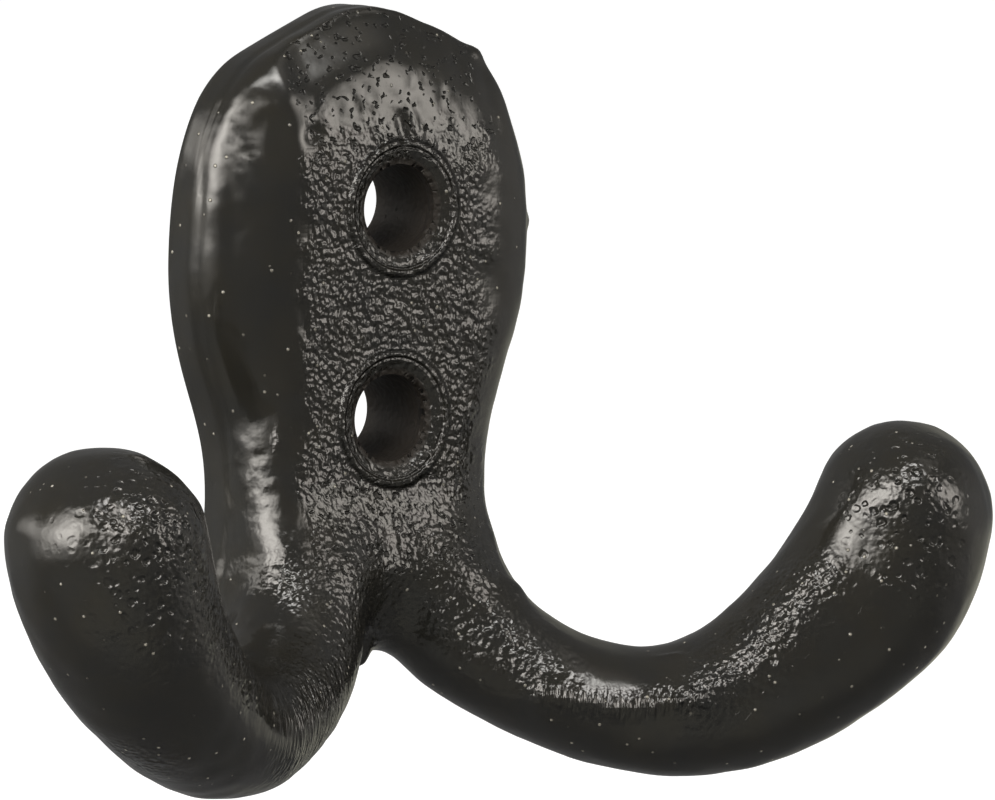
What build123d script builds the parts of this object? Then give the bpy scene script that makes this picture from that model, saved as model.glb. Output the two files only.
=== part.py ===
from build123d import *
import math
import os

# Double hook: one sand casting, a keyhole-shaped wall plate that divides below its waist
# into two arms, each swept out to its own side, turned up and ending in a blunt bulb.
# Millimetres. The back lies on the wall at Y = 0, the front faces -Y, X runs to the
# right and Z up; the origin is on the wall, midway between the two screw holes.

# Plate
PLATE_T = 6.2           # wall face to front face
WALL_T = 3.0            # straight side, from the wall face up to the parting line
ROUND_W = 4.8           # width of the rounding between the side and the flat front
PLATE_W = 25.0          # widest, at WIDE_Z
WIDE_Z = 3.5
WAIST_W = 18.6          # narrowest
WAIST_Z = -10.4
SKIRT_W = 24.6          # flared again where the arms leave
SKIRT_Z = -18.0
SKIRT_FLARE = 50.0      # degrees, side of the skirt from upright at its corner
SKIRT_R = 2.0           # its corner
CROTCH_Z = -21.2        # lowest point of the plate, between the arms
SHOULDER_W = 19.6       # between the corners under the gabled top
SHOULDER_Z = 15.1
SHOULDER_LEAN = 28.0    # degrees, side of the plate from upright at the shoulder
SHOULDER_R = 6.0
GABLE_SLOPE = 24.0      # degrees, each side of the top
GABLE_R = 6.0

# Screw holes, for countersunk wood screws
HOLE_D = 5.5
HOLE_PITCH = 13.0
SINK_D = 7.5
SINK_DEPTH = 0.6

# Sections of the right arm: centre X, Y and Z, turn (degrees from straight out, seen from
# above), heading (degrees, 0 is level and outward), half height across the heading, half
# width. The first is inside the plate.
ARM = [
    (4.3, -3.0, -10.8, 90.0, -88.0, 4.4, 2.7),
    (4.7, -3.8, -15.0, 78.0, -74.0, 4.9, 3.8),
    (6.6, -5.8, -19.3, 66.0, -55.0, 4.6, 4.4),
    (11.5, -9.7, -22.9, 61.0, -30.0, 3.95, 4.5),
    (18.0, -13.6, -23.9, 61.0, 3.0, 4.25, 4.6),
    (24.5, -16.7, -20.9, 61.0, 33.0, 5.35, 5.2),
    (28.5, -18.3, -16.6, 61.0, 53.0, 6.0, 5.8),
    (30.8, -19.2, -11.4, 61.0, 72.0, 5.9, 6.1),
]
BULB_CAP = 5.2          # rounded end beyond the last section


def plate_outline():
    """Front view of the plate: skirt, waist, belly, shoulders and a low gable."""
    crotch = (0, CROTCH_Z)
    skirt = (SKIRT_W / 2, SKIRT_Z)
    waist = (WAIST_W / 2, WAIST_Z)
    belly = (PLATE_W / 2, WIDE_Z)
    shoulder = (SHOULDER_W / 2, SHOULDER_Z)
    apex = (0, SHOULDER_Z + SHOULDER_W / 2 * math.tan(math.radians(GABLE_SLOPE)))
    flare = math.radians(SKIRT_FLARE)
    lean = math.radians(SHOULDER_LEAN)
    right = Curve() + [
        Line(crotch, skirt),
        Spline(skirt, waist, tangents=[(-math.sin(flare), math.cos(flare)), (0, 1)]),
        Spline(waist, belly, tangents=[(0, 1), (0, 1)]),
        Spline(belly, shoulder, tangents=[(0, 1), (-math.sin(lean), math.cos(lean))]),
        Line(shoulder, apex),
    ]
    face = make_face(right + mirror(right, about=Plane.YZ))
    for height, radius in ((SHOULDER_Z, SHOULDER_R), (SKIRT_Z, SKIRT_R)):
        corners = face.vertices().filter_by(lambda v: abs(v.Y - height) < 0.01)
        face = fillet(corners, radius)
    return fillet(face.vertices().sort_by(Axis.Y)[-1], GABLE_R)


def plate():
    """The plate, its front edge rounded ROUND_W wide but only down to the parting line.

    A round edge is made on a plate that is too thick, then the plate is squashed to
    PLATE_T, so the rounding becomes a quarter ellipse.
    """
    squash = (PLATE_T - WALL_T) / ROUND_W
    thick = extrude(Plane.XZ * plate_outline(), PLATE_T / squash)
    front = thick.faces().sort_by(Axis.Y)[0]
    rim = front.edges().filter_by(lambda e: e.center().Z > SKIRT_Z)
    return scale(fillet(rim, ROUND_W), by=(1, squash, 1))


def section_plane(x, y, z, turn, heading):
    """Plane across an arm; its x runs toward the inside of the bend."""
    turn = math.radians(turn)
    rise = math.radians(heading)
    away = Vector(math.sin(turn), -math.cos(turn), 0)
    up = Vector(0, 0, 1)
    along = away * math.cos(rise) + up * math.sin(rise)
    inward = up * math.cos(rise) - away * math.sin(rise)
    return Plane(origin=(x, y, z), x_dir=inward, z_dir=along)


def arm():
    """Right arm, from its root inside the plate to the rounded bulb, in front of the wall."""
    limb = loft([section_plane(*place) * Ellipse(h, w) for *place, h, w in ARM])
    *place, half_h, half_w = ARM[-1]
    dome = Sphere(1, arc_size1=0, align=(Align.CENTER, Align.CENTER, Align.MIN))
    cap = scale(dome, by=(half_h, half_w, BULB_CAP))
    return split(limb + section_plane(*place) * cap, Plane.XZ, keep=Keep.TOP)


def screw_hole(z):
    """A clearance hole through the plate with a shallow countersink."""
    hole = Cylinder(HOLE_D / 2, 3 * PLATE_T)
    sink = Pos(0, 0, PLATE_T) * Cone(
        HOLE_D / 2, SINK_D / 2, SINK_DEPTH, align=(Align.CENTER, Align.CENTER, Align.MAX)
    )
    return Pos(0, 0, z) * (Plane.XZ * (hole + sink))


def double_hook():
    right_arm = arm()
    body = plate() + right_arm + mirror(right_arm, about=Plane.YZ)
    for z in (HOLE_PITCH / 2, -HOLE_PITCH / 2):
        body = body - screw_hole(z)
    return body


os.makedirs("parts", exist_ok=True)
hook = double_hook()
hook.label = "double_hook"
export_step(hook, "parts/double_hook.step")
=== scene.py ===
import math

import bmesh
import bpy
import numpy as np
from mathutils import Matrix, Vector


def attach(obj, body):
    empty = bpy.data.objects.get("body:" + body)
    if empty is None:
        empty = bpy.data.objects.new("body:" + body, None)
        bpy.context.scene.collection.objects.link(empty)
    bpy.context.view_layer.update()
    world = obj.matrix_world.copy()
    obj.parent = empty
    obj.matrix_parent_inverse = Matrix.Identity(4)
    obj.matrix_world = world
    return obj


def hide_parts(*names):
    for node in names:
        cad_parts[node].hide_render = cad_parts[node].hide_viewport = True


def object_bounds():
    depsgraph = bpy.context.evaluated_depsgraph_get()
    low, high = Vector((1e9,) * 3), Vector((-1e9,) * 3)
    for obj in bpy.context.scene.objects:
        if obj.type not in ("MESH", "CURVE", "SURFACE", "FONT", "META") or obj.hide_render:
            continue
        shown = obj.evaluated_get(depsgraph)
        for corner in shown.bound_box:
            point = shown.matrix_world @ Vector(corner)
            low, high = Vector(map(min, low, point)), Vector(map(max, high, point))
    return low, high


# A cast iron double hook in glossy black enamel. The casting keeps its modelled solid's form;
# its skin is rebuilt as one fine mesh, so that the arms flow out of the plate and the pits,
# lumps and flash of the casting show in the shape itself. Sand grain, blisters and drag lines
# are finer than that mesh, so the enamel's bump carries them. Shape sizes are millimetres.
# X runs to the right, Z up and -Y out from the wall; the origin is between the screw holes.

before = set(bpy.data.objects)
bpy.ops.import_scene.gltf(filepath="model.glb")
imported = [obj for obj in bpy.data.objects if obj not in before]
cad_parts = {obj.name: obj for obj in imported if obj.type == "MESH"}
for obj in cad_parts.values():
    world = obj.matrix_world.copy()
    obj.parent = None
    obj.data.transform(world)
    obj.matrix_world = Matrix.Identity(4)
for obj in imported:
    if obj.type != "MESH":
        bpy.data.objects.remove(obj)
cad_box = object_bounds()

MM = 0.001
NODE = "double_hook"
SEED = 7

# Meshes
FORM_SPACING = 0.5              # mesh spacing while its form is blended
SKIN_SPACING = 0.26             # and for the finished skin
SPARE_DEPTH = 2.0               # cut off again at the wall
WELD = 0.001                    # points this near to each other, or to the wall, are on it
FILL_ROUNDS = 10                # how long the form is worked on in each step
FORM_ROUNDS = 110
SKIN_ROUNDS, ARM_ROUNDS = 26, 60
SHRINK, SWELL_BACK = 0.55, -0.57        # shares of one smoothing round and of its undoing
FLAT = 0.9999                   # faces that point this squarely at the wall are flat

# Plate and holes
FRONT_Y = -6.2                  # front face of the plate
HOLE_R = 2.75                   # as modelled; each cast bore narrows a little to the back
BORE_Y = (-5.4, 0.0)            # from the front to the wall, where the radii below hold
BORE_R = (2.70, 2.55)
HOLE_Z = 6.5                    # one above the middle and one below
HOLE_SHIFTS = {1: (0.80, 0.22), -1: (0.50, 0.28)}   # both were cast off centre
SINK_R = 3.75                   # shallow countersink, its lip just raised
SINK_DEPTH = 0.5
LIP_RISE, LIP_WIDTH = 0.07, 0.2
FINE_R, FINE_DEPTH = 4.7, 1.6   # the mesh is twice as fine this near to a hole's mouth
BORE_BAND = 0.35                # points this near to a modelled bore are its wall
MOUTH_BAND = (-0.15, 1.2)       # past the bore and past the countersink, the mouth is shaped
MOUTH_DEPTH = 1.1               # and this deep behind the face
SHIFT_BAND = (7.0, 4.2)         # a hole's shift fades in between these distances from it
CROWN_FROM, CROWN_RATE = 8.5, 0.034     # the face leans back above this height, per mm
GABLE_ROUND = 0.010             # and to both sides there, by this times x squared
ROOT_FROM, ROOT_RATE = -7.5, 0.046      # it leans forward below this height
EDGE_FROM, EDGE_RATE = -6.4, 0.05       # and back again to the left of this line
LEFT_DRAFT = 0.45               # the left side wall leans in this much, front of the parting
FACE_LEFT, FACE_RIGHT = (-7.2, -6.3), (9.0, 4.5)    # the sanded face fades in from each side

# Uneven places of this casting: centre and reach of each, and which way it is pushed
SWELLS = [
    ((6.8, -4.0, 17.2), (3.5, 4.0, 2.6), (0.28, 0.0, 0.45)),      # right shoulder, fuller
    ((11.2, -4.0, 13.0), (3.0, 5.0, 3.0), (-0.40, 0.0, -0.05)),   # and slimmer below
    ((12.0, -4.0, 0.5), (3.0, 5.0, 4.0), (-0.28, 0.0, 0.0)),
    ((-10.5, -1.0, 15.2), (3.0, 4.0, 2.0), (0.18, 0.0, -0.08)),   # left shoulder
    ((-12.4, -1.0, 9.0), (3.0, 4.0, 3.0), (-0.10, 0.0, 0.0)),
    ((-10.9, -1.0, -4.5), (3.0, 4.0, 3.2), (-0.42, 0.0, 0.0)),    # left waist, wider
    ((-12.0, -1.5, -17.0), (3.5, 3.0, 3.5), (0.70, 0.0, 0.0)),    # and upright below
    ((-8.0, -5.7, -12.1), (2.2, 2.4, 2.7), (-0.50, -0.85, 0.0)),  # neck of the left arm
    ((-36.0, -21.0, -8.0), (3.0, 3.0, 3.0), (0.28, 0.0, -0.22)),  # left tip
    ((-28.0, -21.5, -7.0), (3.0, 3.0, 2.5), (-0.25, 0.0, -0.10)),
    ((-37.0, -20.0, -12.5), (3.0, 4.0, 3.0), (-0.38, 0.05, 0.0)),
    ((-33.5, -18.2, -19.5), (3.0, 5.0, 3.5), (0.10, 0.0, 0.08)),  # left arm, underside
    ((-26.0, -16.0, -26.0), (4.5, 5.0, 3.0), (0.12, 0.0, 0.34)),
    ((-13.0, -15.0, -26.5), (4.0, 4.5, 3.0), (0.15, 0.0, -0.35)),
    ((9.5, -3.0, -10.5), (3.0, 4.0, 3.5), (0.20, 0.0, 0.0)),
    ((10.0, -9.5, -16.5), (3.0, 4.0, 2.5), (-0.30, 0.0, -0.20)),  # right arm, inside the bend
    ((12.5, -12.5, -18.8), (5.0, 4.0, 3.0), (0.0, 0.0, -0.36)),
    ((20.5, -18.0, -17.5), (3.0, 4.0, 3.0), (-0.25, 0.0, 0.25)),
    ((3.0, -9.0, -23.5), (3.5, 5.0, 2.5), (0.0, 0.0, 0.30)),      # right arm, underside
    ((13.0, -14.0, -28.0), (4.0, 5.0, 2.5), (0.0, 0.0, -0.20)),
    ((26.0, -18.5, -25.0), (5.0, 5.0, 3.0), (-0.10, 0.0, 0.18)),
    ((34.0, -24.0, -10.5), (3.5, 5.0, 4.5), (-0.60, 0.35, -0.05)),  # right tip
    ((24.5, -17.5, -7.0), (3.0, 3.0, 3.0), (0.32, -0.22, -0.20)),
]

# Small lumps of flash and sand: centre, radius and height, which is negative for a hole
LUMPS = [
    ((-0.6, -4.4, -20.7), 0.65, 1.1),       # burr in the crotch
    ((8.4, -3.5, 16.2), 0.5, 0.35),
    ((12.3, -4.0, 5.6), 0.4, 0.25),
    ((8.3, -8.9, -16.7), 0.7, 0.35),        # bump on the flash of the right arm
    ((-6.2, -6.2, 11.5), 0.85, 0.30),       # crater left of the upper hole
    ((-6.1, -6.2, 11.4), 0.50, -0.62),
    ((0.5, -6.2, 12.3), 0.32, -0.25),       # torn sand above the upper hole
    ((0.7, -6.2, 11.6), 0.26, -0.25),
    ((0.8, -6.2, 10.9), 0.28, -0.22),
    ((1.5, -6.2, 12.0), 0.35, 0.12),
    ((0.1, -6.2, 11.1), 0.35, 0.12),
    ((-34.4, -23.5, -11.4), 0.9, -0.26),    # shallow sinks beside the left tip's blisters
    ((-33.9, -23.7, -9.5), 0.7, -0.18),
]

# Thin flash where the halves of the mould met, along each arm
FLASH_RISE, FLASH_WIDTH = 0.14, 0.16
FLASH = [
    ((8.0, -5.4, -9.0), (8.2, -6.4, -13.5), (8.3, -9.2, -16.9), (10.0, -11.0, -18.9),
     (13.0, -13.3, -20.3), (16.0, -15.2, -20.6)),
    ((-9.4, -2.6, -11.0), (-9.6, -3.0, -13.2), (-11.6, -8.1, -18.2)),
]

# Bands where the enamel thinned out over rough sand
RIGHT_BAND = ((4.0, -8.5, -18.5), (8.0, -12.3, -22.6), (11.7, -15.2, -23.3),
              (16.0, -17.6, -22.6), (19.4, -19.1, -20.1), (22.4, -20.2, -16.2),
              (25.0, -20.9, -11.0))
BAND_RISE = 0.32                # the right one stands up as a soft ridge
RIGHT_LEG = ((1.5, -6.8, -13.5), (3.0, -7.4, -16.5), (7.1, -12.0, -21.8))
LEFT_LEG = ((-2.5, -7.0, -13.5), (-4.5, -9.0, -17.5), (-9.0, -13.0, -21.5))
LEFT_BAND = ((-31.0, -25.0, -10.5), (-28.0, -24.3, -14.8), (-25.0, -23.0, -17.5),
             (-20.0, -19.5, -20.5))

# Where the arms leave the plate: centre and reach
ARM_ROOT = ((6.5, -5.0, -16.0), (4.5, 4.0, 3.6))        # of the right arm, mirrored for the left
CROTCH = ((0.0, -5.0, -19.5), (4.5, 4.5, 3.0))

# Spots on the skin: centre and reach of each
NECK = ((-9.2, -4.6, -12.0), (1.5, 2.2, 3.6))           # dents where the left arm leaves
LEFT_SIDE = ((-10.4, -4.4, 9.5), (1.2, 1.6, 3.5))       # and weaker ones high on that side
LEFT_TIP = ((-31.0, -24.9, -11.4), (2.5, 2.6, 4.0))     # blisters
RIGHT_TIP = ((27.2, -23.7, -11.0), (1.8, 2.0, 3.0))
LEFT_ROOT = ((-8.8, -8.3, -15.9), (1.5, 1.5, 1.8))      # rough sand
LEFT_UNDER = ((-27.6, -17.6, -24.8), (2.2, 1.8, 1.2))
COMBED = ((-10.8, -15.0, -23.9), (3.2, 3.0, 2.1))       # drag lines

# Waves in the skin: length and height
PEEL_WAVES = ((7.0, 0.03), (2.4, 0.013))                # orange peel in the poured enamel
FINE_WAVE = (1.1, 0.003)
DENT_WAVE = (0.85, 0.024)
DENT_STRETCH = (0.5, 0.5, 1.0)                          # dents run twice as far sideways
EDGE_WAVE = (3.0, 0.5)                                  # how the sanded face wanders
PARTING_WAVE = (9.0, 0.10)
FLASH_WAVE = (3.0, 0.5)                                 # as a share of the flash's height

# Pits in the face: how many, low and high corner in X and Z, and largest half width
TOP_PITS = (70, (-6.5, 10.6), (5.8, 17.0), 0.30)
FACE_PITS = (60, (-6.5, -20), (5.8, 10), 0.24)
PIT_SHARE = 0.8                 # of their depth is left; enamel fills the rest

# Where the two halves of the mould met round the plate: heights, and distance from the wall
PARTING_Z = (-20, -12, -4, 7, 14, 18)
PARTING_Y = (-3.0, -2.7, -2.6, -2.75, -2.05, -1.8)
PARTING_STEP = 0.06             # the front half stands proud, behind a narrow groove
GROOVE_DEPTH, GROOVE_WIDTH = 0.09, 0.22

# Sizes in the enamel
CLUMP_SIZE, BEAD_SIZE = 0.9, 0.35   # sand grain; real grains of 0.2 are too fine to show
GRAIN_RISE = 0.20
PIT_SIZE, PIT_DEPTH = 0.48, 0.32
RIM_WIDTH, RIM_RISE = 0.16, 0.12    # edge of each countersink
LINE_SPACING, LINE_RISE = 0.32, 0.6     # drag lines of coarse sand
LINE_STRETCH = 0.12                 # eight times as long as they are wide
BLISTER_SPACING, BLISTER_RISE = 0.72, 0.24
BLISTER_BEND, BEND_SIZE = 0.5, 0.8      # their outlines are bent this much, over this length
NIB_SPACING, NIB_RISE = 1.1, 0.06
NIB_EDGE = (0.05, 0.11)             # radius as a share of the spacing, for 0.1 mm dust
DRIFT_SIZE = 6.0
TINT_SIZE, GLOSS_SIZE = 3.0, 1.6

# View, in the casting's own frame
VIEW_AZ = -37.7                 # degrees, from straight in front, to the hook's left
VIEW_EL = 4.5
VIEW_ROLL = 1.55
VIEW_AIM = (7.05, -8.0, -5.12)
VIEW_DISTANCE = 1111.0
VIEW_LENS, SENSOR = 653.0, 36.0
CLIP_END = 20                   # metres
PANEL_GAP = 0.8                 # metres from the hook to each light
AMBIENT = 0.24                  # level of the room, where 1 is white
MIRRORED = 0.18                 # and of its far walls: gloss enamel mirrors a dark room
FLOOR_SIZE, FLOOR_DROP = 6, 0.06        # metres
FLOOR_GLOW = 0.9

# Soft lights: azimuth, elevation, reach to each side and up and down in degrees, peak, colour
# The left ones light the left side, mid_window the band on the right arm, front ones the face
WINDOWS = {
    "left_window": (-88, 10, 50, 30, 1.9, "fffaf2"),
    "left_core": (-82, 27, 38, 31, 12.0, "fffaf2"),
    "left_front": (-47, 29, 16, 13, 5.0, "fffaf2"),
    "left_edge": (-132, 20, 28, 13, 3.4, "fffaf2"),
    "left_wall": (-140, -5, 40, 36, 0.2, "f8f8f4"),
    "mid_window": (-22, 62, 27, 14, 13.5, "fffdf8"),
    "front_window": (62, 4, 46, 40, 0.35, "fff8ee"),
    "front_soft": (42, 12, 24, 19, 5.4, "fff8ee"),
    "front_core": (35, 27, 26, 16, 4.6, "fff8ee"),
    "top_window": (30, 62, 34, 20, 0.6, "fff8ee"),
    "right_low": (110, -14, 36, 12, 0.4, "f0ecd0"),
    "back_glow": (128, 2, 14, 50, 0.15, "e6e0b4"),
    "low_front": (-37, -48, 60, 36, 0.25, "f4f2e0"),
}


# ---------------------------------------------------------------- small tools

def srgb(text):
    """Linear colour of an sRGB hex value such as 1c1c1b."""
    parts = np.array([int(text[i:i + 2], 16) for i in (0, 2, 4)]) / 255
    linear = np.where(parts <= 0.04045, parts / 12.92, ((parts + 0.055) / 1.055) ** 2.4)
    return (*linear, 1.0)


def step(low, high, x):
    """0 at low and before, 1 at high and beyond, and between them the S of 3 t^2 - 2 t^3.

    t is the share of the way from low to high. Low may be the larger one.
    """
    t = np.clip((x - low) / (high - low), 0, 1)
    return t * t * (3 - 2 * t)


def near(points, centre, reach):
    """Bell of height 1 at centre: e to the minus half of the squared distance over reach."""
    gap = (points - np.array(centre)) / np.array(reach)
    return np.exp(-0.5 * (gap ** 2).sum(axis=-1))


def ripple(points, length, rng, waves=48):
    """Smooth random field: the sum of cosine waves of about one length in all directions.

    It is divided by the root of half their number, so that its usual height is 1.
    """
    aim = rng.normal(size=(waves, 3))
    aim *= (2 * math.pi / length) * rng.uniform(0.7, 1.4, (waves, 1)) / np.linalg.norm(
        aim, axis=1, keepdims=True)
    phase = rng.uniform(0, 2 * math.pi, waves)
    return np.cos(points @ aim.T + phase).sum(axis=1) / math.sqrt(waves / 2)


def mesh_points(mesh):
    """Vertex places in millimetres, one row each."""
    flat = np.empty(len(mesh.vertices) * 3, dtype=np.float32)
    mesh.vertices.foreach_get("co", flat)
    return flat.reshape(-1, 3).astype(float) / MM


def set_points(mesh, points):
    """Moves the vertices to the given places in millimetres."""
    mesh.vertices.foreach_set("co", (points * MM).astype(np.float32).ravel())
    mesh.update()


def mesh_normals(mesh):
    """Outward unit direction at each vertex."""
    flat = np.empty(len(mesh.vertices) * 3, dtype=np.float32)
    mesh.vertex_normals.foreach_get("vector", flat)
    return flat.reshape(-1, 3).astype(float)


def mesh_edges(mesh):
    """The two vertices of each edge."""
    flat = np.empty(len(mesh.edges) * 2, dtype=np.int32)
    mesh.edges.foreach_get("vertices", flat)
    return flat.reshape(-1, 2)


def relax(values, edges, weight, rounds):
    """Each row moves toward the mean of its neighbours by its weight, round after round.

    The new value is the old plus weight times the mean of the neighbours less the old.
    """
    ends = np.concatenate([edges, edges[:, ::-1]])
    count = np.bincount(ends[:, 0], minlength=len(values))
    for _ in range(rounds):
        total = np.stack([
            np.bincount(ends[:, 0], weights=values[ends[:, 1], k], minlength=len(values))
            for k in range(values.shape[1])], axis=1)
        values = values + weight[:, None] * (total / count[:, None] - values)
    return values


# ---------------------------------------------------------------- the casting

def joined_copy(node):
    """A copy of the solid's mesh, its loose triangles joined and its back pushed into the wall.

    The spare depth is cut off again, so that the back edge comes out sharp and even.
    """
    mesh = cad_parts[node].data.copy()
    work = bmesh.new()
    work.from_mesh(mesh)
    bmesh.ops.remove_doubles(work, verts=work.verts, dist=WELD * MM)
    for vert in work.verts:
        if vert.co.y > -WELD * MM:
            vert.co.y = SPARE_DEPTH * MM
    work.to_mesh(mesh)
    work.free()
    return mesh


def cut_back(mesh):
    """Cuts the spare depth off at the wall face and closes the cut with flat faces."""
    work = bmesh.new()
    work.from_mesh(mesh)
    whole = work.verts[:] + work.edges[:] + work.faces[:]
    bmesh.ops.bisect_plane(work, geom=whole, dist=1e-7, plane_co=(0, 0, 0), plane_no=(0, 1, 0),
                           clear_outer=True)
    rim = [edge for edge in work.edges if edge.is_boundary]
    bmesh.ops.triangle_fill(work, use_beauty=True, edges=rim, normal=(0, 1, 0))
    bmesh.ops.recalc_face_normals(work, faces=work.faces[:])
    work.to_mesh(mesh)
    work.free()


def even_mesh(mesh, spacing):
    """The same closed skin in quads of one size."""
    holder = bpy.data.objects.new("holder", mesh)
    bpy.context.collection.objects.link(holder)
    remesh = holder.modifiers.new("even", "REMESH")
    remesh.mode = "VOXEL"
    remesh.voxel_size = spacing * MM
    remesh.use_smooth_shade = True
    graph = bpy.context.evaluated_depsgraph_get()
    even = bpy.data.meshes.new_from_object(holder.evaluated_get(graph))
    bpy.data.objects.remove(holder)
    return even


def hole_gap(points, z):
    """Distance of each point from the axis of the hole at height z, as modelled."""
    return np.hypot(points[:, 0], points[:, 2] - z)


def any_hole_gap(points):
    """Distance of each point from the axis of the nearer hole."""
    return np.minimum(hole_gap(points, HOLE_Z), hole_gap(points, -HOLE_Z))


def root_share(points):
    """1 where an arm leaves the plate, 0 a few millimetres away and at the wall.

    It is the larger of two bells, at the root of each arm and at the crotch, made steeper.
    """
    x, y, z = points.T
    mirrored = np.stack([np.abs(x), y, z], axis=1)
    share = np.maximum(near(mirrored, *ARM_ROOT), near(mirrored, *CROTCH))
    return step(0.1, 0.6, share) * step(-0.05, -0.4, y)


def fill_roots(mesh, points, edges):
    """Grooves between arms and plate fill up: points there only ever move outwards.

    Each moves along its normal by what relaxing it would give, where that is outwards.
    """
    share = root_share(points)
    for _ in range(FILL_ROUNDS):
        set_points(mesh, points)
        out = mesh_normals(mesh)
        push = relax(points, edges, 0.9 * share, 4) - points
        rise = np.maximum((push * out).sum(axis=1), 0)
        points = points + out * rise[:, None]
    return points


def even_out(points, edges, weight, rounds):
    """Relaxes, then pushes back a little more, so that bumps go but the size stays."""
    for _ in range(rounds):
        points = relax(points, edges, SHRINK * weight, 1)
        points = relax(points, edges, SWELL_BACK * weight, 1)
    return points


def blend_form(mesh):
    """Arms flow out of the plate and into their bulbs, with no crease between the parts."""
    edges = mesh_edges(mesh)
    points = fill_roots(mesh, mesh_points(mesh), edges)
    x, _, z = points.T
    on_arm = step(9, 13, np.abs(x)) * step(-8, -11, z) + step(15, 18, np.abs(x))
    weight = np.clip(root_share(points) + on_arm, 0, 1)
    set_points(mesh, even_out(points, edges, weight, FORM_ROUNDS))


def rub_facets(points, edges):
    """The last small facets are rubbed even, all but the crisp rims of the holes."""
    off_holes = step(3.4, 4.4, any_hole_gap(points))
    points = even_out(points, edges, off_holes, SKIN_ROUNDS)
    on_arm = step(15, 18, np.abs(points[:, 0]))
    return even_out(points, edges, on_arm, ARM_ROUNDS)


def finer_at_holes(mesh):
    """Splits the faces of the front round each hole in four, for crisp countersinks."""
    work = bmesh.new()
    work.from_mesh(mesh)
    near_hole = [edge for edge in work.edges if all(
        vert.co.y < (FRONT_Y + FINE_DEPTH) * MM
        and math.hypot(vert.co.x, abs(vert.co.z) - HOLE_Z * MM) < FINE_R * MM
        for vert in edge.verts)]
    bmesh.ops.subdivide_edges(work, edges=near_hole, cuts=1, use_grid_fill=True)
    work.to_mesh(mesh)
    work.free()


def true_holes(points):
    """Bores are true round cones, with shallow countersinks, each moved off centre as cast.

    A bore's points move straight away from its axis to the bore's radius at their depth.
    Round it the face sinks in a straight slope from the countersink's edge to the bore, and a
    low bell-shaped lip stands round that edge.
    """
    for side, (shift_x, shift_z) in HOLE_SHIFTS.items():
        z = side * HOLE_Z
        gap = hole_gap(points, z)
        bore = np.interp(points[:, 1], BORE_Y, BORE_R)
        factor = np.where(np.abs(gap - HOLE_R) < BORE_BAND, bore / np.maximum(gap, 0.1), 1)
        factor = np.where(points[:, 1] > FRONT_Y + SINK_DEPTH + 0.05, factor, 1)
        points[:, 0] *= factor
        points[:, 2] = z + (points[:, 2] - z) * factor
        gap = hole_gap(points, z)
        sunk = SINK_DEPTH * np.clip((SINK_R - gap) / (SINK_R - BORE_R[0]), 0, 1)
        lip = LIP_RISE * np.exp(-((gap - SINK_R - LIP_WIDTH) / LIP_WIDTH) ** 2)
        mouth = (gap > HOLE_R + MOUTH_BAND[0]) & (gap < SINK_R + MOUTH_BAND[1])
        mouth &= points[:, 1] < FRONT_Y + MOUTH_DEPTH
        points[:, 1] = np.where(mouth, FRONT_Y + sunk - lip, points[:, 1])
        share = step(*SHIFT_BAND, gap)
        points[:, 0] += shift_x * share
        points[:, 2] += shift_z * share
    return points


def crowned(points):
    """The face leans back and rounds off toward the gable, and leans forward to the arms.

    Each is a parabola: half its rate times the square of the distance past its line. The
    left side wall leans in by its draft.
    """
    x, y, z = points.T
    front = step(-2.5, -5.5, y) * step(11, 8, x)
    back = 0.5 * CROWN_RATE * np.clip(z - CROWN_FROM, 0, None) ** 2
    back *= 1 - step(-5.5, -9.0, x) * step(11, 13.5, z)
    back += GABLE_ROUND * np.clip(np.abs(x), 0, 6) ** 2 * step(8, 13, z)
    back += 0.5 * EDGE_RATE * np.clip(EDGE_FROM - x, 0, 5) ** 2 * step(-9.5, -6.0, z)
    low = np.clip(ROOT_FROM - z, 0, 8)
    forward = 0.5 * ROOT_RATE * low ** 2 * step(-20, -13, z) * np.exp(-(x / 6.0) ** 4)
    points[:, 1] += front * (back - forward)
    draft = step(-1.8, -4.4, y) * step(-9, -5, z) * step(-7, -9, x)
    points[:, 0] += LEFT_DRAFT * draft
    return points


def swollen(points):
    """Gentle swells and hollows: each adds its push, times a bell round its centre."""
    moved = points.copy()
    for centre, reach, push in SWELLS:
        moved += near(points, centre, reach)[:, None] * np.array(push)
    return moved


def route_bell(points, route, reach):
    """1 on a route of straight runs through the given places, falling off over reach.

    It is e to the minus half of the squared distance to the nearest run over reach.
    """
    nearest = np.full(len(points), np.inf)
    for start, end in zip(route[:-1], route[1:]):
        start, run = np.array(start), np.array(end) - np.array(start)
        along = np.clip((points - start) @ run / (run @ run), 0, 1)
        gap = np.linalg.norm(points - start - along[:, None] * run, axis=1)
        nearest = np.minimum(nearest, gap)
    return np.exp(-0.5 * (nearest / reach) ** 2)


def worm_pits(points, rng, count, low, high, size):
    """How deep small closed pits go: random ellipses, each sunk as a bell on its two axes."""
    x, _, z = points.T
    sunk = np.zeros(len(points))
    for _ in range(count):
        cx, cz = rng.uniform(low, high)
        wide = size * rng.uniform(0.5, 1.0)
        long = wide * rng.uniform(1.0, 2.8)
        turn = rng.uniform(0, math.pi)
        depth = 0.55 * wide * rng.uniform(0.5, 1.0)
        along = (x - cx) * math.cos(turn) + (z - cz) * math.sin(turn)
        across = (z - cz) * math.cos(turn) - (x - cx) * math.sin(turn)
        sunk = np.maximum(sunk, depth * np.exp(-((along / long) ** 2 + (across / wide) ** 2)))
    return sunk


def side_share(points, out):
    """1 on the plate's outer side walls, 0 on its front and back and in the holes."""
    return step(0.8, 0.5, np.abs(out[:, 1])) * step(4, 5, any_hole_gap(points)) * step(
        -6.0, -5.0, points[:, 1])


def wave(points, size, rng):
    """A ripple of the given length and height."""
    length, height = size
    return height * ripple(points, length, rng)


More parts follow.
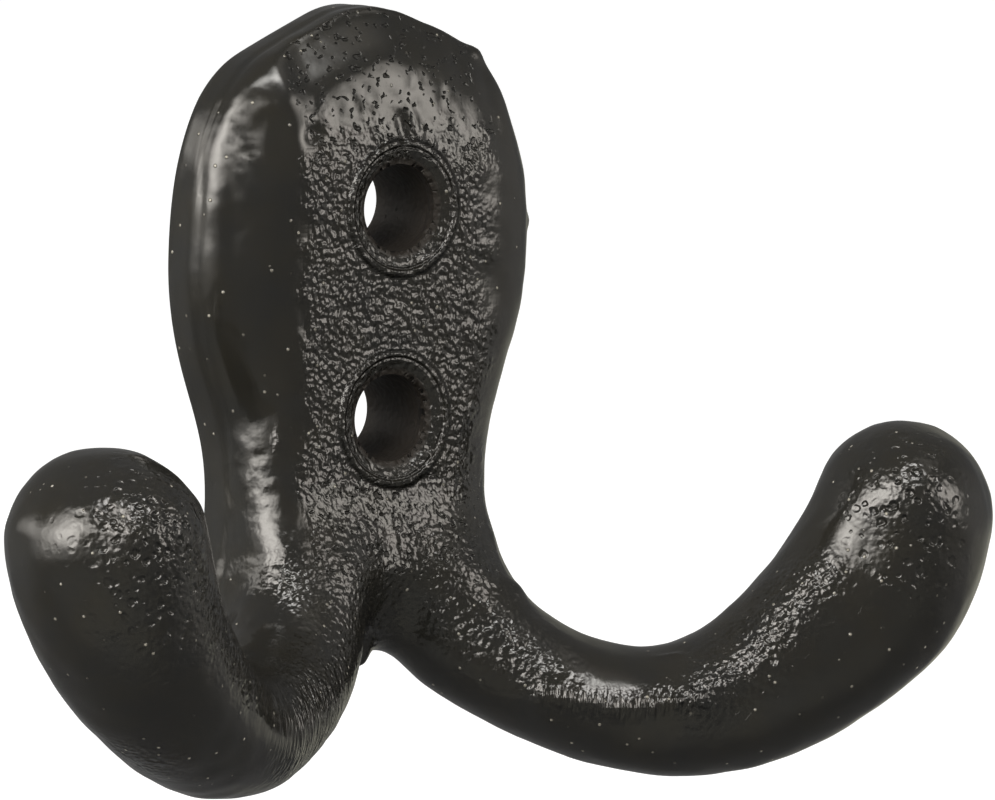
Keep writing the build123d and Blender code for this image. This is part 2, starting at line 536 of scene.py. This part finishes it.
def peeled(points, face, rng):
    """Orange peel over the skin, most of it lost on the sanded face, and dents at the left."""
    peel = wave(points, PEEL_WAVES[0], rng) + wave(points, PEEL_WAVES[1], rng)
    peel = peel * (1 - 0.8 * face) + wave(points, FINE_WAVE, rng)
    dented = np.maximum(near(points, *NECK), 0.6 * near(points, *LEFT_SIDE))
    return peel + dented * wave(points * DENT_STRETCH, DENT_WAVE, rng)


def pitted(points, facing, rng):
    """How deep the pits in the face are, top and below."""
    pits = worm_pits(points, rng, *TOP_PITS)
    pits = np.maximum(pits, worm_pits(points, rng, *FACE_PITS))
    return PIT_SHARE * pits * facing * step(-5.0, -5.6, points[:, 1])


def parted(points, out, rng):
    """Round the plate the front half of the mould left a step, behind a bell-shaped groove."""
    met = np.interp(points[:, 2], PARTING_Z, PARTING_Y)
    from_line = points[:, 1] - met - wave(points, PARTING_WAVE, rng)
    groove = GROOVE_DEPTH * np.exp(-(from_line / GROOVE_WIDTH) ** 2)
    return side_share(points, out) * (PARTING_STEP * step(-0.3, 0.3, from_line) - groove)


def flashed(points, rng):
    """Thin flash along the arms, uneven in height, and the ridge under the right band."""
    flash = sum(FLASH_RISE * route_bell(points, route, FLASH_WIDTH) for route in FLASH)
    flash *= 1 + wave(points, FLASH_WAVE, rng)
    return flash + BAND_RISE * route_bell(points + (0, 0.1, 0.35), RIGHT_BAND[1:], 1.1)


def finish_shares(points, facing, face, wander, in_hole):
    """How much of each kind of finish shows at each point, from 0 to 1 or a little more."""
    z = points[:, 2]
    band = route_bell(points, RIGHT_BAND[3:6], 1.5)
    ticks = route_bell(points + (0, 0, 0.45), RIGHT_BAND[1:4], 0.45)
    legs = np.maximum(route_bell(points, RIGHT_LEG, 1.8), route_bell(points, LEFT_LEG, 1.8))
    left_tip, right_tip = near(points, *LEFT_TIP), near(points, *RIGHT_TIP)
    bore = step(3.2, 2.9, in_hole)
    cone = step(4.2, 3.9, in_hole) * (1 - bore)
    sanded = face * step(13.5, 8.5, z + wander) * (1 - 0.45 * step(-9, -11, z))
    low = face * step(-9, -11, z) * step(-17, -14, z)
    return {
        "grain": np.max([
            sanded, 0.15 * near(points, *NECK), 0.9 * legs, 0.3 * bore, 0.9 * cone, 1.3 * band,
            0.6 * route_bell(points, LEFT_BAND, 1.4), 0.9 * left_tip, 0.6 * right_tip,
            0.8 * near(points, *LEFT_ROOT), 0.9 * near(points, *LEFT_UNDER)], axis=0),
        "blisters": np.max([left_tip, right_tip, 0.3 * band], axis=0),
        "drag": np.max([1.4 * near(points, *COMBED), ticks], axis=0),
        "pitted": np.maximum(face * step(8.5, 12.0, z), 0.8 * low),
        "bore": bore,
        "rim": facing * step(4.4, 4.1, in_hole),
    }


def cast_skin(points, out):
    """How far each point of the skin stands proud of the plain form, and the finish there.

    The rise is peel less pits plus the parting step, faint in the holes, plus flash and
    lumps, and it fades to nothing at the wall.
    """
    rng = np.random.default_rng(SEED)
    x, y, z = points.T
    facing = step(-0.35, -0.8, out[:, 1])
    in_hole = np.minimum(*(hole_gap(points - (shift_x, 0, shift_z), side * HOLE_Z)
                           for side, (shift_x, shift_z) in HOLE_SHIFTS.items()))
    wander = wave(points, EDGE_WAVE, rng)
    on_plate = step(-14, -10, y) * step(-24, -21, z)
    face = facing * step(*FACE_LEFT, x + wander) * step(*FACE_RIGHT, x + wander) * on_plate
    rise = peeled(points, face, rng) - pitted(points, facing, rng) + parted(points, out, rng)
    rise *= 0.15 + 0.85 * step(3.0, 4.0, in_hole)
    lumps = sum(height * near(points, centre, (radius,) * 3) for centre, radius, height in LUMPS)
    rise = (rise + flashed(points, rng) + lumps) * step(0, -0.35, y)
    return rise, finish_shares(points, facing, face, wander, in_hole)


def keep_finish(mesh, finish):
    """Stores each share of finish on the mesh's points, for the enamel to read."""
    for name, values in finish.items():
        layer = mesh.attributes.new(name, "FLOAT", "POINT")
        layer.data.foreach_set("value", values.astype(np.float32))


def cast_body():
    """The whole casting, its form blended at a coarse spacing and its skin made at a fine one."""
    rough = even_mesh(joined_copy(NODE), FORM_SPACING)
    blend_form(rough)
    mesh = even_mesh(rough, SKIN_SPACING)
    mesh.name = "cast_body"
    finer_at_holes(mesh)
    points = rub_facets(mesh_points(mesh), mesh_edges(mesh))
    set_points(mesh, swollen(crowned(true_holes(points))))
    cut_back(mesh)
    points, out = mesh_points(mesh), mesh_normals(mesh)
    rise, finish = cast_skin(points, out)
    set_points(mesh, points + out * rise[:, None])
    keep_finish(mesh, finish)
    squarely = np.empty((len(mesh.polygons), 3))
    mesh.polygons.foreach_get("normal", squarely.ravel())
    mesh.polygons.foreach_set("use_smooth", squarely[:, 1] < FLAT)
    piece = bpy.data.objects.new("cast_body", mesh)
    bpy.context.collection.objects.link(piece)
    mesh.materials.clear()
    mesh.materials.append(black_enamel())
    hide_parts(NODE)
    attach(piece, "root")


# ---------------------------------------------------------------- materials

def add(tree, kind, sockets=None, **settings):
    """Adds a node, sets its properties, and fills or links its input sockets."""
    node = tree.nodes.new(kind)
    for name, value in settings.items():
        setattr(node, name, value)
    for name, value in (sockets or {}).items():
        if isinstance(value, bpy.types.NodeSocket):
            tree.links.new(value, node.inputs[name])
        else:
            node.inputs[name].default_value = value
    return node


def sand_grain(tree, place, share):
    """Sand through the film: 0.7 of a noise of clumps plus one of beads, faint off its share."""
    clumps = add(tree, "ShaderNodeTexNoise", {
        "Vector": place, "Scale": 1 / (CLUMP_SIZE * MM), "Detail": 1.0})
    beads = add(tree, "ShaderNodeTexNoise", {
        "Vector": place, "Scale": 1 / (BEAD_SIZE * MM), "Detail": 0.6, "Distortion": 0.1})
    grains = add(tree, "ShaderNodeMath", {
        0: clumps.outputs["Fac"], 1: 0.7, 2: beads.outputs["Fac"]}, operation="MULTIPLY_ADD")
    shown = add(tree, "ShaderNodeMath", {0: share, 1: 0.98, 2: 0.02}, operation="MULTIPLY_ADD")
    return add(tree, "ShaderNodeMath", {
        0: grains.outputs["Value"], 1: shown.outputs["Value"]}, operation="MULTIPLY").outputs[0]


def open_pits(tree, place, share):
    """Pits in the smoother skin at the top of the face and at the root: peaks of a noise."""
    peaks = add(tree, "ShaderNodeTexNoise", {
        "Vector": place, "Scale": 1 / (PIT_SIZE * MM), "Detail": 1.0, "Distortion": 0.3})
    cut = add(tree, "ShaderNodeMapRange", {
        "Value": peaks.outputs["Fac"], "From Min": 0.60, "From Max": 0.74},
        interpolation_type="SMOOTHSTEP")
    return add(tree, "ShaderNodeMath", {0: cut.outputs["Result"], 1: share},
               operation="MULTIPLY").outputs[0]


def sink_rim(tree, place, share, side):
    """Crisp edge of one countersink: lowest at its radius, up to the face on both sides."""
    shift_x, shift_z = HOLE_SHIFTS[side]
    centre = (shift_x * MM, 0.0, (side * HOLE_Z + shift_z) * MM)
    flat = add(tree, "ShaderNodeVectorMath", {0: place, 1: (1.0, 0.0, 1.0)},
               operation="MULTIPLY")
    out = add(tree, "ShaderNodeVectorMath", {0: flat.outputs["Vector"], 1: centre},
              operation="DISTANCE")
    past = add(tree, "ShaderNodeMath", {0: out.outputs["Value"], 1: SINK_R * MM},
               operation="SUBTRACT")
    away = add(tree, "ShaderNodeMath", {0: past.outputs["Value"]}, operation="ABSOLUTE")
    cut = add(tree, "ShaderNodeMapRange", {
        "Value": away.outputs["Value"], "From Max": RIM_WIDTH * MM},
        interpolation_type="SMOOTHSTEP")
    return add(tree, "ShaderNodeMath", {0: cut.outputs["Result"], 1: share},
               operation="MULTIPLY").outputs[0]


def drag_lines(tree, place, share):
    """Upright lines dragged through the sand: a noise stretched along Z."""
    drawn = add(tree, "ShaderNodeMapping", {"Vector": place, "Scale": (1.0, 1.0, LINE_STRETCH)})
    lines = add(tree, "ShaderNodeTexNoise", {
        "Vector": drawn.outputs["Vector"], "Scale": 1 / (LINE_SPACING * MM), "Detail": 1.0})
    return add(tree, "ShaderNodeMath", {0: lines.outputs["Fac"], 1: share},
               operation="MULTIPLY").outputs[0]


def burst_blisters(tree, place, share):
    """Burst gas bubbles: a bowl in each cell of a bent Voronoi pattern, each of its own size."""
    bend = add(tree, "ShaderNodeTexNoise", {"Vector": place, "Scale": 1 / (BEND_SIZE * MM)})
    bent = add(tree, "ShaderNodeVectorMath", {
        0: bend.outputs["Color"], 1: (BLISTER_BEND * MM,) * 3, 2: place},
        operation="MULTIPLY_ADD")
    cell = add(tree, "ShaderNodeTexVoronoi", {
        "Vector": bent.outputs["Vector"], "Scale": 1 / (BLISTER_SPACING * MM)})
    size = add(tree, "ShaderNodeSeparateColor", {"Color": cell.outputs["Color"]})
    reach = add(tree, "ShaderNodeMath", {0: size.outputs["Red"], 1: 0.35, 2: 0.22},
                operation="MULTIPLY_ADD")
    across = add(tree, "ShaderNodeMath", {
        0: cell.outputs["Distance"], 1: reach.outputs["Value"]}, operation="DIVIDE")
    bowl = add(tree, "ShaderNodeMapRange", {
        "Value": across.outputs["Value"], "From Min": 0.4, "From Max": 1.0},
        interpolation_type="SMOOTHSTEP")
    return add(tree, "ShaderNodeMath", {0: bowl.outputs["Result"], 1: share},
               operation="MULTIPLY").outputs[0]


def dust_nibs(tree, place):
    """Specks of dust baked into the film, one to each cell of a Voronoi pattern, in drifts."""
    nib = add(tree, "ShaderNodeTexVoronoi", {"Vector": place, "Scale": 1 / (NIB_SPACING * MM)})
    dot = add(tree, "ShaderNodeMapRange", {
        "Value": nib.outputs["Distance"], "From Min": NIB_EDGE[0], "From Max": NIB_EDGE[1],
        "To Min": 1.0, "To Max": 0.0})
    field = add(tree, "ShaderNodeTexNoise", {
        "Vector": place, "Scale": 1 / (DRIFT_SIZE * MM), "Detail": 1.0})
    drift = add(tree, "ShaderNodeMapRange", {
        "Value": field.outputs["Fac"], "From Min": 0.42, "From Max": 0.56})
    return add(tree, "ShaderNodeMath", {
        0: dot.outputs["Result"], 1: drift.outputs["Result"]}, operation="MULTIPLY").outputs[0]


def black_enamel():
    """Gloss black enamel, dipped and baked over sand-cast iron.

    The film is a smooth dark dielectric, so it shows soft windows of light. It is thin, so
    the sand grain stands through it, and it pools in orange peel between the grains. In the
    pits and the bores the iron and sand lie bare, so they are rough and their gloss is
    turned down; in the bores that dimming is painted shade of the deep bore.
    """
    material = bpy.data.materials.new("black_enamel")
    material.use_nodes = True
    tree = material.node_tree
    shader = tree.nodes["Principled BSDF"]
    shader.inputs["IOR"].default_value = 1.5
    place = add(tree, "ShaderNodeTexCoord").outputs["Object"]
    share = {name: add(tree, "ShaderNodeAttribute", attribute_name=name).outputs["Fac"]
             for name in ("grain", "pitted", "rim", "drag", "blisters", "bore")}

    pits = open_pits(tree, place, share["pitted"])
    dust = dust_nibs(tree, place)
    sunk = add(tree, "ShaderNodeMath", {0: pits, 1: -1.0}, operation="MULTIPLY")
    relief = [
        (GRAIN_RISE, sand_grain(tree, place, share["grain"])),
        (PIT_DEPTH, sunk.outputs["Value"]),
        *((RIM_RISE, sink_rim(tree, place, share["rim"], side)) for side in HOLE_SHIFTS),
        (LINE_RISE, drag_lines(tree, place, share["drag"])),
        (BLISTER_RISE, burst_blisters(tree, place, share["blisters"])),
        (NIB_RISE, dust),
    ]
    below = {}
    for rise, height in relief:
        bump = add(tree, "ShaderNodeBump", {
            "Strength": 1.0, "Distance": rise * MM, "Height": height, **below})
        below = {"Normal": bump.outputs["Normal"]}
    tree.links.new(below["Normal"], shader.inputs["Normal"])

    # black, a little bluer here and browner there, with grey dust and rust-brown bores
    cloud = add(tree, "ShaderNodeTexNoise", {
        "Vector": place, "Scale": 1 / (TINT_SIZE * MM), "Detail": 3.0, "Roughness": 0.6})
    tint = add(tree, "ShaderNodeMix", {
        "Factor": cloud.outputs["Fac"], "A": srgb("18191a"), "B": srgb("1f1d17")},
        data_type="RGBA")
    grey = add(tree, "ShaderNodeMath", {0: dust, 1: 0.5}, operation="MULTIPLY")
    dusty = add(tree, "ShaderNodeMix", {
        "Factor": grey.outputs["Value"], "A": tint.outputs["Result"], "B": srgb("b8b4a8")},
        data_type="RGBA")
    rusty = add(tree, "ShaderNodeMix", {
        "Factor": share["bore"], "A": dusty.outputs["Result"], "B": srgb("1f1b17")},
        data_type="RGBA")
    tree.links.new(rusty.outputs["Result"], shader.inputs["Base Color"])

    # gloss, between a roughness of 0.07 and 0.21, and rough where the film is missing
    gloss = add(tree, "ShaderNodeTexNoise", {
        "Vector": place, "Scale": 1 / (GLOSS_SIZE * MM), "Detail": 3.0})
    worn = add(tree, "ShaderNodeMath", {0: gloss.outputs["Fac"], 1: 0.14, 2: 0.07},
               operation="MULTIPLY_ADD")
    bare_and_painted_bore_shade = add(tree, "ShaderNodeMath", {0: pits, 1: share["bore"]}, operation="MAXIMUM")
    rough = add(tree, "ShaderNodeMath", {
        0: bare_and_painted_bore_shade.outputs["Value"], 1: 0.45, 2: worn.outputs["Value"]}, operation="MULTIPLY_ADD")
    tree.links.new(rough.outputs["Value"], shader.inputs["Roughness"])
    # gloss level halved in pits and bores; in the bores this is painted shade of the deep bore
    gloss_level_with_painted_bore_shade = add(tree, "ShaderNodeMath", {0: bare_and_painted_bore_shade.outputs["Value"], 1: -0.25, 2: 0.5},
                operation="MULTIPLY_ADD")
    tree.links.new(gloss_level_with_painted_bore_shade.outputs["Value"], shader.inputs["Specular IOR Level"])
    return material


def studio_paper():
    """Matt grey paper that the camera alone sees as white, with the hook's soft shadow."""
    material = bpy.data.materials.new("studio_paper")
    material.use_nodes = True
    tree = material.node_tree
    shader = tree.nodes["Principled BSDF"]
    shader.inputs["Base Color"].default_value = srgb("a8a8a6")
    shader.inputs["Roughness"].default_value = 0.9
    shader.inputs["Emission Color"].default_value = srgb("ffffff")
    path = add(tree, "ShaderNodeLightPath")
    lift = add(tree, "ShaderNodeMath", {0: path.outputs["Is Camera Ray"], 1: FLOOR_GLOW},
               operation="MULTIPLY")
    tree.links.new(lift.outputs["Value"], shader.inputs["Emission Strength"])
    return material


# ---------------------------------------------------------------- studio

def toward(az, el):
    """Unit vector from the hook toward azimuth az and elevation el, in degrees."""
    a, e = math.radians(az), math.radians(el)
    return np.array([math.sin(a) * math.cos(e), -math.cos(a) * math.cos(e), math.sin(e)])


def window(name, az, el, wide, high, peak, tint):
    """A soft oval of light that fades from its middle to nothing at wide and high degrees.

    Its strength follows an S from the edge to the middle. At a peak of 1 the middle would
    look white.
    """
    wide, high = (2 * PANEL_GAP * math.tan(math.radians(angle)) for angle in (wide, high))
    lamp = bpy.data.lights.new(name, "AREA")
    lamp.shape = "RECTANGLE"
    lamp.size, lamp.size_y = wide, high
    lamp.energy = peak * wide * high * math.pi
    lamp.color = srgb(tint)[:3]
    lamp.use_nodes = True
    tree = lamp.node_tree
    spot = add(tree, "ShaderNodeNewGeometry").outputs["Parametric"]
    off = add(tree, "ShaderNodeVectorMath", {0: spot, 1: (0.5, 0.5, 0.0)}, operation="DISTANCE")
    fade = add(tree, "ShaderNodeMapRange", {
        "Value": off.outputs["Value"], "From Min": 0.5, "From Max": 0.0},
        interpolation_type="SMOOTHSTEP")
    tree.links.new(fade.outputs["Result"], tree.nodes["Emission"].inputs["Strength"])
    box = bpy.data.objects.new(name, lamp)
    bpy.context.collection.objects.link(box)
    box.location = np.array(VIEW_AIM) * MM + toward(az, el) * PANEL_GAP
    box.rotation_euler = Vector(-toward(az, el)).to_track_quat("-Z", "Y").to_euler()


def room():
    """White to the camera and through glass, dim to the gloss, and plain light otherwise."""
    world = bpy.data.worlds.new("studio")
    bpy.context.scene.world = world
    world.use_nodes = True
    tree = world.node_tree
    tree.nodes["Background"].inputs["Color"].default_value = srgb("ffffff")
    path = add(tree, "ShaderNodeLightPath")
    walls = add(tree, "ShaderNodeMapRange", {
        "Value": path.outputs["Is Glossy Ray"], "To Min": AMBIENT, "To Max": MIRRORED})
    seen = add(tree, "ShaderNodeMath", {
        0: path.outputs["Is Camera Ray"], 1: path.outputs["Is Transmission Ray"]},
        operation="MAXIMUM")
    strength = add(tree, "ShaderNodeMapRange", {
        "Value": seen.outputs["Value"], "To Min": walls.outputs["Result"], "To Max": 1.0})
    tree.links.new(strength.outputs["Result"], tree.nodes["Background"].inputs["Strength"])


def studio():
    """The room, a floor below the hook, and soft lights round it."""
    room()
    bpy.ops.mesh.primitive_plane_add(size=FLOOR_SIZE)
    floor = bpy.context.object
    floor.name = "floor"
    floor.location.z = cad_box[0][2] - FLOOR_DROP
    floor.data.materials.append(studio_paper())
    floor.visible_glossy = False    # the enamel shows the dim room below it, with no horizon
    for name, place in WINDOWS.items():
        window(name, *place)


def camera():
    """Long lens from the left front, nearly level, rolled a little."""
    lens = bpy.data.cameras.new("camera")
    lens.lens = VIEW_LENS
    lens.sensor_width = SENSOR
    lens.clip_end = CLIP_END
    eye = bpy.data.objects.new("camera", lens)
    bpy.context.collection.objects.link(eye)
    back = toward(VIEW_AZ, VIEW_EL)
    a, roll = math.radians(VIEW_AZ), math.radians(VIEW_ROLL)
    right = np.array([math.cos(a), math.sin(a), 0.0])
    up = np.cross(back, right)
    side = math.cos(roll) * right + math.sin(roll) * up
    top = math.cos(roll) * up - math.sin(roll) * right
    place = (np.array(VIEW_AIM) + back * VIEW_DISTANCE) * MM
    turned = Matrix((side, top, back)).transposed().to_4x4()
    turned.translation = place
    eye.matrix_world = turned
    bpy.context.scene.camera = eye


cast_body()
studio()
camera()
bpy.context.scene.view_settings.view_transform = "Standard"
